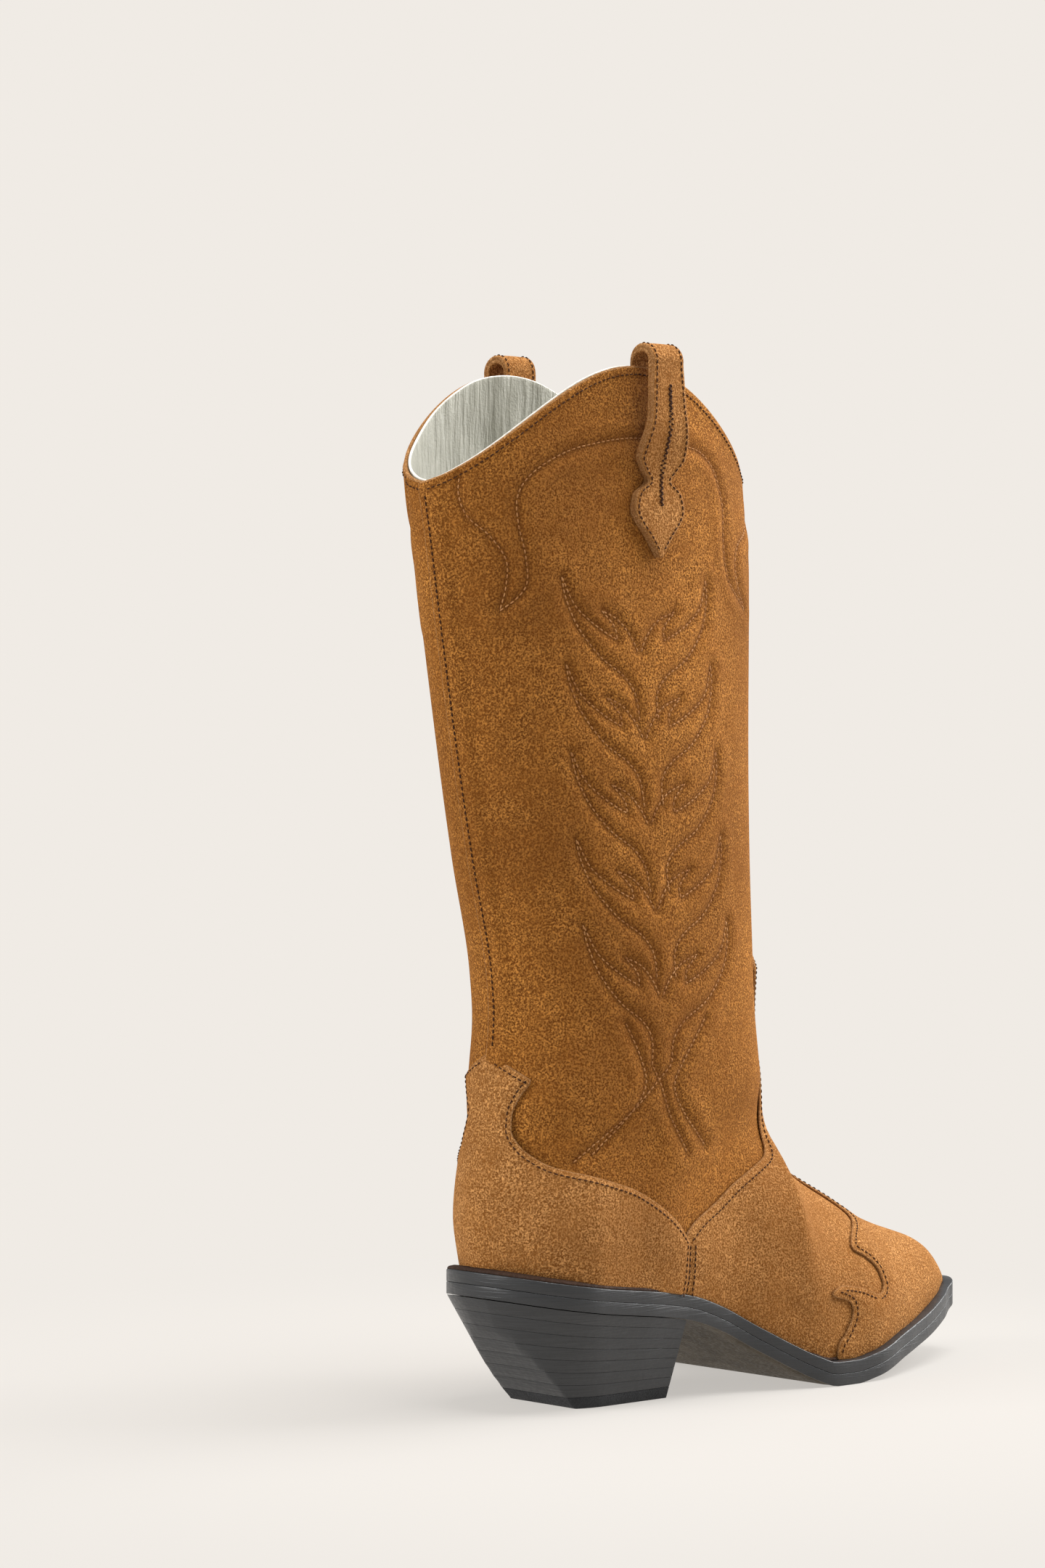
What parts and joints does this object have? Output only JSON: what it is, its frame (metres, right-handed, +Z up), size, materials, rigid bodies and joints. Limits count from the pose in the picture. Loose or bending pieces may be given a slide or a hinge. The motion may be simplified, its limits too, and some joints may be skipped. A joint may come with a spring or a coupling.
{
  "type": "cowboy boot",
  "caption": "Knee-high suede western boot with scalloped top line, pull straps, snip toe, leather sole and tall stacked heel.",
  "frame": {"origin": "middle of the heel's tread, on the ground", "axes": "+Z up along the shaft, +Y towards the toe, +X towards the outer side of the foot"},
  "size_m": [0.0979, 0.2873, 0.4052],
  "materials": {
    "upper_suede": "tan cow suede, short brushed nap, sewn with tan thread",
    "lining_leather": "smooth grey lining leather with fine wrinkles, satin",
    "stiffener": "resin-stiffened fibre sheet, matte",
    "insole_fibreboard": "pressed fibreboard, matte",
    "cork": "ground cork and latex filler, matte",
    "shank_steel": "pressed spring steel",
    "sole_leather": "sole leather, edges dyed near black and waxed to a soft shine",
    "heel_stack": "stacked heel leather, dyed near black and waxed, joints showing as fine lines",
    "top_lift_rubber": "hard black heel rubber, matte",
    "fastener_steel": "plain steel"
  },
  "bodies": {
    "root": {"shaft_outer_half": "upper_suede", "shaft_inner_half": "upper_suede", "vamp": "upper_suede", "toe_cap": "upper_suede", "counter_cover": "upper_suede", "outer_strap_anchor": "upper_suede", "outer_strap_tab": "upper_suede", "inner_strap_anchor": "upper_suede", "inner_strap_tab": "upper_suede", "lining_outer_half": "lining_leather", "lining_inner_half": "lining_leather", "vamp_lining": "lining_leather", "sock_liner": "lining_leather", "heel_counter": "stiffener", "toe_puff": "stiffener", "insole_board": "insole_fibreboard", "cork_filler": "cork", "shank": "shank_steel", "welt": "sole_leather", "outsole": "sole_leather", "heel_lift_1": "heel_stack", "heel_lift_2": "heel_stack", "heel_lift_3": "heel_stack", "heel_lift_4": "heel_stack", "heel_lift_5": "heel_stack", "heel_lift_6": "heel_stack", "heel_lift_7": "heel_stack", "top_lift": "top_lift_rubber", "heel_nail_1": "fastener_steel", "heel_nail_2": "fastener_steel", "heel_nail_3": "fastener_steel", "heel_nail_4": "fastener_steel", "heel_screw": "fastener_steel"},
    "outer_pull_loop": {"outer_strap_loop": "upper_suede"},
    "inner_pull_loop": {"inner_strap_loop": "upper_suede"}
  },
  "joints": [
    {"name": "outer_pull_strap_lean", "type": "hinge", "parent": "root", "child": "outer_pull_loop", "pos_m": [0.0391, -0.001, 0.394], "axis": [0, 1, 0], "range_deg": [-12, 4], "stiffness_Nm_per_rad": 0.02},
    {"name": "inner_pull_strap_lean", "type": "hinge", "parent": "root", "child": "inner_pull_loop", "pos_m": [-0.0391, -0.001, 0.394], "axis": [0, -1, 0], "range_deg": [-12, 4], "stiffness_Nm_per_rad": 0.02}
  ]
}
